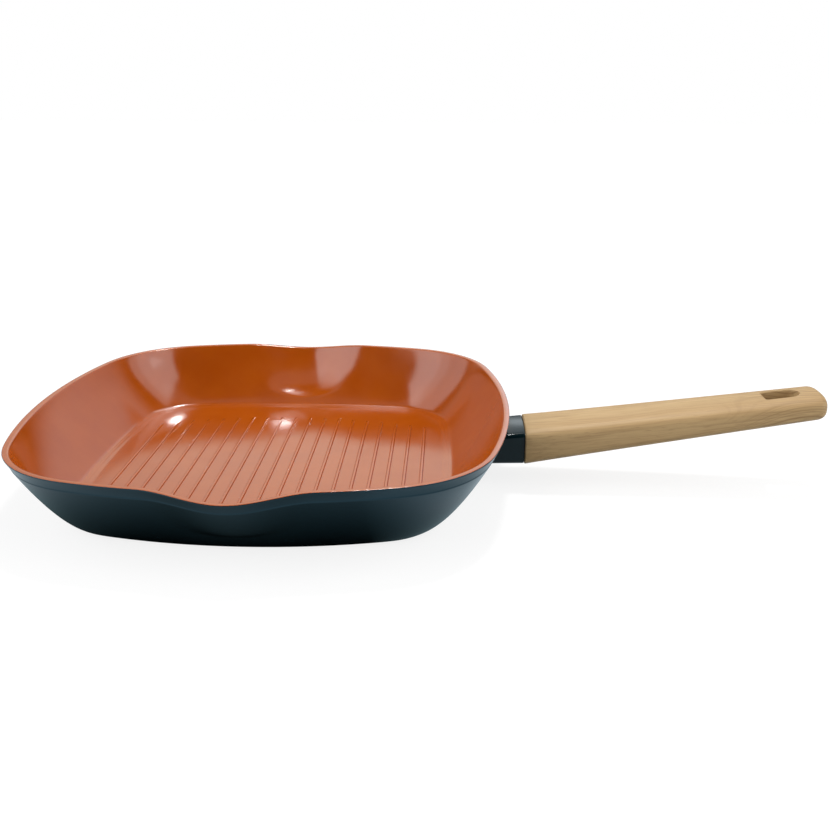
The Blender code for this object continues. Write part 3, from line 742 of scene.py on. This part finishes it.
def bar_cutter(name, radius, start, end):
    """Round bar along the handle's line."""
    angles = np.linspace(0, 2 * np.pi, BORE_STEPS, endpoint=False)
    circle = np.column_stack([radius * np.cos(angles), radius * np.sin(angles)])
    rings = [np.column_stack([circle, np.full(BORE_STEPS, z)]) for z in (start, end)]
    return cutter(name, rings, handle_frame())


def slot_outline(grow):
    """Slot in Y and Z of the handle's line: square near the pan, round near the end."""
    start = SLOT_START - grow
    half_width = SLOT_HALF_WIDTH + grow
    round_centre = start + SLOT_LENGTH + 2 * grow - half_width
    corner = SLOT_CORNER_RADIUS + grow
    points = []
    for angle in np.linspace(-np.pi / 2, np.pi / 2, SLOT_ROUND_POINTS):
        points.append((half_width * math.sin(angle),
                       round_centre + half_width * math.cos(angle)))
    corner_points = [(half_width - corner + corner * math.cos(angle),
                      start + corner - corner * math.sin(angle))
                     for angle in np.linspace(0, np.pi / 2, SLOT_CORNER_POINTS)]
    return np.array(points + corner_points + [(-y, z) for y, z in corner_points[::-1]])


def slot_cutter():
    """Slot with rounded edges at the grip's top and underside."""
    surface = grip_half_height((SLOT_START + SLOT_LENGTH / 2) / GRIP_LENGTH)
    levels = [(2 * surface, 2 * SLOT_EDGE), (surface + SLOT_EDGE, 2 * SLOT_EDGE)]
    for angle in np.linspace(0, math.pi / 2, SLOT_EDGE_POINTS):
        levels.append((surface - SLOT_EDGE_DEPTH * (1 - math.cos(angle)),
                       SLOT_EDGE * (1 - math.sin(angle))))
    rings = []
    for x, grow in [(-x, grow) for x, grow in levels] + levels[::-1]:
        outline = slot_outline(grow)
        rings.append(np.column_stack([np.full(len(outline), x), outline]))
    return cutter("slot_cutter", rings, handle_frame())


def grip_cutters():
    """Cutters for the collar's neck, the lug, the screw, the screw's head and the slot."""
    room = NECK_INSET - SEAT_GAP
    neck = [collar_section(GRIP_START - SHADOW_GAP, room),
            collar_section(GRIP_START + NECK_LENGTH + SEAT_GAP, room)]
    seat = SLOT_START - COUNTERBORE_DEPTH
    into_slot = SLOT_START + SLOT_HALF_WIDTH
    return [cutter("neck_cutter", neck, Matrix()),
            bar_cutter("boss_cutter", BOSS_HOLE_RADIUS, -BOSS_HOLE_DEPTH, BOSS_HOLE_DEPTH),
            bar_cutter("bore_cutter", BORE_RADIUS, 0.0, into_slot),
            bar_cutter("counterbore_cutter", COUNTERBORE_RADIUS, seat, into_slot),
            slot_cutter()]


def cut_and_apply(thing, tools):
    """Cut tools out of an object's mesh for good, and delete them."""
    for tool in tools:
        modifier = thing.modifiers.new("cut_" + tool.name, "BOOLEAN")
        modifier.operation = "DIFFERENCE"
        modifier.solver = "EXACT"
        modifier.object = tool
    bpy.context.view_layer.update()
    evaluated = thing.evaluated_get(bpy.context.evaluated_depsgraph_get())
    result = bpy.data.meshes.new_from_object(evaluated)
    thing.modifiers.clear()
    old = thing.data
    thing.data = result
    bpy.data.meshes.remove(old)
    for tool in tools:
        bpy.data.objects.remove(tool)


def make_grip():
    """Wooden grip with its slot and the holes inside it."""
    rings = grip_rings()
    grip = mesh_object("wood_grip", np.concatenate(rings),
                       capped_faces(len(rings), GRIP_SECTION_STEPS), [wood_material()])
    cut_and_apply(grip, grip_cutters())
    grip.data.shade_smooth()
    grip.data.set_sharp_from_angle(angle=GRIP_SMOOTH_ANGLE)
    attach(grip, "root")
    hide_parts("handle_grip")


class Nodes:
    """Short way to build a node tree."""

    def __init__(self, tree):
        self.tree = tree

    def add(self, kind, inputs=None, **settings):
        node = self.tree.nodes.new(kind)
        for key, value in settings.items():
            setattr(node, key, value)
        for key, value in (inputs or {}).items():
            self.set(node, key, value)
        return node

    def set(self, node, key, value):
        """Link a socket, or give it a value."""
        socket = node.inputs[key]
        if isinstance(value, bpy.types.NodeSocket):
            self.tree.links.new(value, socket)
        else:
            socket.default_value = value

    def point(self):
        return self.add("ShaderNodeTexCoord").outputs["Object"]

    def split(self, vector):
        return self.add("ShaderNodeSeparateXYZ", {"Vector": vector}).outputs

    def camera_ray(self):
        return self.add("ShaderNodeLightPath").outputs["Is Camera Ray"]

    def shiny_ray(self):
        """1 for the rays of reflections and of transmission."""
        path = self.add("ShaderNodeLightPath").outputs
        return self.math("MAXIMUM", path["Is Glossy Ray"], path["Is Transmission Ray"])

    def math(self, operation, first, second=0.0):
        node = self.add("ShaderNodeMath", operation=operation)
        self.set(node, 0, first)
        self.set(node, 1, second)
        return node.outputs[0]

    def length(self, first, second):
        """Length of a vector in a plane."""
        squares = [self.math("MULTIPLY", value, value) for value in (first, second)]
        return self.math("SQRT", self.math("ADD", *squares))

    def vector_math(self, operation, output, *vectors):
        node = self.add("ShaderNodeVectorMath", dict(enumerate(vectors)), operation=operation)
        return node.outputs[output]

    def noise(self, vector, scale, detail=3.0, roughness=0.5):
        node = self.add("ShaderNodeTexNoise", {"Vector": vector, "Scale": scale,
                                               "Detail": detail, "Roughness": roughness})
        return node.outputs["Fac"]

    def drawn_noise(self, vector, along, across, detail, roughness):
        """Noise that is drawn out along X."""
        return self.noise(self.mapped(vector, (along, across, across)), 1.0, detail, roughness)

    def lines(self, place):
        """Noise along one value, which makes lines or rings."""
        node = self.add("ShaderNodeTexNoise", {"W": place, "Scale": 1.0, "Detail": 2.0},
                        noise_dimensions="1D")
        return node.outputs["Fac"]

    def spread(self, value, low, high, to_low=0.0, to_high=1.0, kind="LINEAR"):
        """Value from one range to another, and no further."""
        node = self.add("ShaderNodeMapRange", {"Value": value, "From Min": low, "From Max": high,
                                               "To Min": to_low, "To Max": to_high},
                        interpolation_type=kind)
        return node.outputs["Result"]

    def soft_spread(self, *values):
        return self.spread(*values, kind="SMOOTHSTEP")

    def blend(self, factor, first, second):
        """Mix of two colours, each of them linked or plain."""
        node = self.add("ShaderNodeMix", {0: factor}, data_type="RGBA")
        for index, colour in zip(MIX_INPUTS, (first, second)):
            linked = isinstance(colour, bpy.types.NodeSocket)
            self.set(node, index, colour if linked else (*colour, 1.0))
        return node.outputs[MIX_OUTPUT]

    def mapped(self, vector, scale=(1.0, 1.0, 1.0), turn=(0.0, 0.0, 0.0),
               shift=(0.0, 0.0, 0.0)):
        node = self.add("ShaderNodeMapping", {"Vector": vector, "Scale": scale,
                                              "Rotation": turn, "Location": shift})
        return node.outputs["Vector"]

    def bump(self, height, distance):
        node = self.add("ShaderNodeBump", {"Height": height, "Distance": distance,
                                           "Strength": 1.0})
        return node.outputs["Normal"]


class Look(Nodes):
    """Node tree of a material with its surface shader."""

    SOCKETS = {"colour": "Base Color", "roughness": "Roughness", "metallic": "Metallic",
               "normal": "Normal", "specular": "Specular IOR Level", "ior": "IOR",
               "tint": "Specular Tint", "glow": "Emission Color",
               "glow_strength": "Emission Strength"}

    def __init__(self, name):
        self.material = bpy.data.materials.new(name)
        self.material.use_nodes = True
        super().__init__(self.material.node_tree)
        self.shader = self.tree.nodes["Principled BSDF"]

    def finish(self, **inputs):
        for key, value in inputs.items():
            self.set(self.shader, self.SOCKETS[key], value)
        return self.material


def paint_material(name, mottle, colours, relief, relief_height, sheen_scale, roughness,
                   **shader):
    """Paint with a faint mottle of two colours, a fine relief, and a sheen that varies a little."""
    n = Look(name)
    place = n.point()
    colour = n.blend(n.spread(n.noise(place, *mottle), *COLOUR_SPAN), *colours)
    sheen = n.spread(n.noise(place, sheen_scale), *ROUGHNESS_SPAN, *roughness)
    normal = n.bump(n.noise(place, *relief), relief_height)
    return n.finish(colour=colour, roughness=sheen, normal=normal, **shader)


def growth_rings(n, along, bent, bend):
    """Share of the rings' colour: rings round a tilted pith, only towards the grip's end."""
    parts = n.split(n.mapped(bent, shift=RING_PITH))
    tilted = n.math("ADD", n.math("MULTIPLY", parts["X"], RING_TILT), parts["Y"])
    radius = n.math("MULTIPLY", n.length(tilted, parts["Z"]), RING_SCALE)
    rings = n.lines(n.math("ADD", radius, n.math("MULTIPLY", bend, RING_BEND)))
    fade = n.spread(n.split(along)["X"], *RING_FADE_IN)
    return n.math("MULTIPLY", n.spread(rings, *RING_SPAN), fade)


def wood_material():
    """Pale oiled beech: long soft bands and streaks, fine fibres, short pores and growth rings."""
    n = Look("oiled_wood")
    along = n.mapped(n.point(), turn=WOOD_TURN)
    bend = n.drawn_noise(along, *WOOD_BEND)
    bend_vector = n.add("ShaderNodeCombineXYZ", {"Y": n.math("MULTIPLY", bend, WOOD_BEND_Y),
                                                 "Z": n.math("MULTIPLY", bend, WOOD_BEND_Z)})
    bent = n.vector_math("ADD", "Vector", along, bend_vector.outputs[0])
    bands = n.drawn_noise(bent, *WOOD_BANDS)
    streaks = n.drawn_noise(bent, *WOOD_STREAKS)
    fibres = n.drawn_noise(bent, *WOOD_FIBRES)
    pores = n.drawn_noise(bent, *WOOD_PORES)
    colour = n.blend(n.spread(bands, *WOOD_BAND_SPAN), WOOD_LIGHT, WOOD_MIDDLE)
    colour = n.blend(growth_rings(n, along, bent, bend), colour, RING_COLOUR)
    for pattern, darkening in ((streaks, STREAK_DARKENING), (fibres, FIBRE_DARKENING),
                               (pores, PORE_DARKENING)):
        colour = n.blend(n.spread(pattern, *darkening), colour, WOOD_DARK)
    relief = n.math("ADD", fibres, n.math("MULTIPLY", streaks, WOOD_STREAK_RELIEF))
    return n.finish(colour=colour, roughness=n.spread(fibres, *ROUGHNESS_SPAN, *WOOD_ROUGHNESS),
                    normal=n.bump(relief, WOOD_RELIEF_HEIGHT), specular=WOOD_SPECULAR)


def steel_material(name, turned):
    """Brushed steel; a turned face has fine rings about the middle of the pan."""
    n = Look(name)
    place = n.point()
    if turned:
        parts = n.split(place)
        lines = n.lines(n.math("MULTIPLY", n.length(parts["X"], parts["Y"]), STEEL_TURNED_SCALE))
    else:
        lines = n.noise(n.mapped(place, STEEL_BRUSH_STRETCH), STEEL_BRUSH_SCALE)
    return n.finish(colour=n.blend(lines, *STEEL_COLOURS), metallic=1.0,
                    roughness=n.spread(lines, *ROUGHNESS_SPAN, *STEEL_ROUGHNESS),
                    normal=n.bump(lines, STEEL_RELIEF_HEIGHT))


def aluminium_material():
    """Cast aluminium with a fine sandy skin."""
    n = Look("cast_aluminium")
    place = n.point()
    sand = n.noise(place, ALUMINIUM_SAND_SCALE)
    colour = n.blend(n.noise(place, ALUMINIUM_CLOUD_SCALE), *ALUMINIUM_COLOURS)
    return n.finish(colour=colour, metallic=1.0,
                    roughness=n.spread(sand, *ROUGHNESS_SPAN, *ALUMINIUM_ROUGHNESS),
                    normal=n.bump(sand, ALUMINIUM_RELIEF_HEIGHT))


def dress_frame_nodes():
    """Better materials for the frame's own pieces."""
    fastener = steel_material("fastener_steel", False)
    materials = {"induction_disc": steel_material("turned_steel", True),
                 "handle_screw": fastener, "flat_washer": fastener, "lock_washer": fastener,
                 "handle_lug": aluminium_material()}
    for name, material in materials.items():
        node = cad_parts[name]
        node.data.materials.clear()
        node.data.materials.append(material)


def painted_floor_shade_and_light(n, place):
    """How bright reflections see the floor: a painted shadow round the pan and painted light
    towards the handle.
    """
    parts = n.split(place)
    outside = [n.math("MAXIMUM", n.math("SUBTRACT", n.math("ABSOLUTE", parts[axis]),
                                        PAINTED_SHADE_SQUARE)) for axis in "XY"]
    # Painted shadow: dark close round the pan, paler further out
    around = n.math("POWER", n.spread(n.length(*outside), *PAINTED_SHADE_SPAN), PAINTED_SHADE_POWER)
    # Painted light: paler towards the handle
    painted_light_beside = n.spread(parts["X"], *PAINTED_SIDE_LIGHT_SPAN, 0.0, PAINTED_SIDE_LIGHT)
    return n.math("MINIMUM", n.math("ADD", around, painted_light_beside), MIRROR_LIMIT)


def floor_material():
    """Floor that is white to the camera but for the object's shadow; reflections see a tinted
    painted shadow and painted light on it.
    """
    n = Look("studio_floor")
    seen, shiny, place = n.camera_ray(), n.shiny_ray(), n.point()
    shade = n.blend(n.noise(place, *FLOOR_CLOUD), (FLOOR_SHADE,) * 3, (FLOOR_CLOUD_SHADE,) * 3)
    unseen = n.blend(shiny, (FLOOR_BOUNCE,) * 3, BLACK)
    away = n.vector_math("LENGTH", "Value", place)
    near = n.spread(away, *FLOOR_LIFT_SPAN, *FLOOR_LIFT)
    # Painted shadow under the pan and painted light towards the handle, seen only in reflections
    painted_shade_and_light = painted_floor_shade_and_light(n, place)
    lift = n.math("ADD", n.math("MULTIPLY", seen, near), n.math("MULTIPLY", shiny, painted_shade_and_light))
    tint = n.blend(n.spread(painted_shade_and_light, *MIRROR_TINT_SPAN), PAINTED_SHADE_TINT, PAINTED_LIGHT_TINT)
    return n.finish(colour=n.blend(seen, unseen, shade), roughness=FLOOR_ROUGHNESS, specular=0.0,
                    glow=n.blend(shiny, WHITE, tint), glow_strength=lift)


def make_floor():
    """Studio floor."""
    corners = [(x * FLOOR_REACH, y * FLOOR_REACH, 0)
               for x, y in ((-1, -1), (1, -1), (1, 1), (-1, 1))]
    floor = mesh_object("studio_floor", corners, [(0, 1, 2, 3)], [floor_material()])


def backdrop_brightness(n, way, parts):
    """How bright reflections see the backdrop: pale behind the object, with paler patches."""
    gloss = n.math("MULTIPLY", n.soft_spread(parts["Y"], *BACKDROP_SIDES, 0.0, BACKDROP_GLOSS),
                   n.soft_spread(parts["Z"], *BACKDROP_FOOT))
    for core_way, edge, brightness in BACKDROP_CORES:
        facing = n.vector_math("DOT_PRODUCT", "Value", way, core_way)
        core = n.soft_spread(facing, math.cos(math.radians(edge)), 1.0, 0.0, brightness)
        gloss = n.math("ADD", gloss, core)
    return gloss


def make_world():
    """White to the camera, a backdrop in a dark room to reflections, and a faint even light."""
    world = bpy.data.worlds.new("studio")
    world.use_nodes = True
    bpy.context.scene.world = world
    world.node_tree.nodes.clear()
    n = Nodes(world.node_tree)
    way = n.add("ShaderNodeTexCoord").outputs["Generated"]
    parts = n.split(way)
    seen, shiny = n.camera_ray(), n.shiny_ray()
    gloss = n.math("MULTIPLY", shiny, backdrop_brightness(n, way, parts))
    unseen = n.math("ADD", gloss, n.spread(shiny, 0.0, 1.0, AMBIENT, 0.0))
    warmth = n.blend(n.spread(parts["X"], *BACKDROP_COOL_SPAN), BACKDROP_WARM, BACKDROP_COOL)
    background = n.add("ShaderNodeBackground", {"Color": n.blend(shiny, WHITE, warmth),
                                                "Strength": n.math("MAXIMUM", unseen, seen)})
    n.add("ShaderNodeOutputWorld", {"Surface": background.outputs[0]})


def add_area_light(name, matrix, width, height, brightness):
    """Area light that the camera doesn't see."""
    data = bpy.data.lights.new(name, "AREA")
    data.shape = "RECTANGLE"
    data.size, data.size_y = width, height
    data.energy = brightness * math.pi * width * height
    light = bpy.data.objects.new(name, data)
    light.matrix_world = matrix
    light.visible_camera = False
    bpy.context.scene.collection.objects.link(light)


def add_softbox(name, azimuth, elevation, width, height, brightness):
    """Area light that covers the given angles as seen from the object."""
    around, above = math.radians(azimuth), math.radians(elevation)
    way = Vector((math.sin(around) * math.cos(above), math.cos(around) * math.cos(above),
                  math.sin(above)))
    turn = (-way).to_track_quat("-Z", "Y").to_matrix().to_4x4()
    size = [2 * SOFTBOX_DISTANCE * math.tan(math.radians(angle / 2)) for angle in (width, height)]
    matrix = Matrix.Translation(LIGHT_TARGET + SOFTBOX_DISTANCE * way) @ turn
    add_area_light(name, matrix, *size, brightness)


def add_panel(name, x, y_from, y_to, z_from, z_to, brightness):
    """Upright area light that faces the object from one side."""
    side = math.copysign(1.0, x)
    turn = Matrix(((0.0, 0.0, side), (side, 0.0, 0.0), (0.0, 1.0, 0.0))).to_4x4()
    middle = (x, (y_from + y_to) / 2, (z_from + z_to) / 2)
    add_area_light(name, Matrix.Translation(middle) @ turn, y_to - y_from, z_to - z_from,
                   brightness)


def make_lights():
    """Softboxes round the object and panels at both sides."""
    for softbox in SOFTBOXES:
        add_softbox(*softbox)
    for panel in PANELS:
        add_panel(*panel)


def make_camera():
    """Camera at the photograph's place and angle."""
    data = bpy.data.cameras.new("camera")
    data.sensor_width = SENSOR_WIDTH
    data.lens = FOCAL_PIXELS / IMAGE_PIXELS * SENSOR_WIDTH
    data.clip_start, data.clip_end = CAMERA_CLIP
    forward = Vector((-math.sin(CAMERA_YAW) * math.cos(CAMERA_PITCH),
                      math.cos(CAMERA_YAW) * math.cos(CAMERA_PITCH), -math.sin(CAMERA_PITCH)))
    level = Vector((math.cos(CAMERA_YAW), math.sin(CAMERA_YAW), 0.0))
    above = level.cross(forward)
    right = math.cos(CAMERA_ROLL) * level + math.sin(CAMERA_ROLL) * above
    up = -math.sin(CAMERA_ROLL) * level + math.cos(CAMERA_ROLL) * above
    turn = Matrix((right, up, -forward)).transposed().to_4x4()
    camera = bpy.data.objects.new("camera", data)
    camera.matrix_world = Matrix.Translation(CAMERA_PLACE) @ turn
    bpy.context.scene.collection.objects.link(camera)
    bpy.context.scene.camera = camera


make_camera()
make_world()
make_floor()
make_lights()
make_pan()
make_collar()
make_grip()
dress_frame_nodes()

bpy.context.scene.view_settings.view_transform = "Standard"
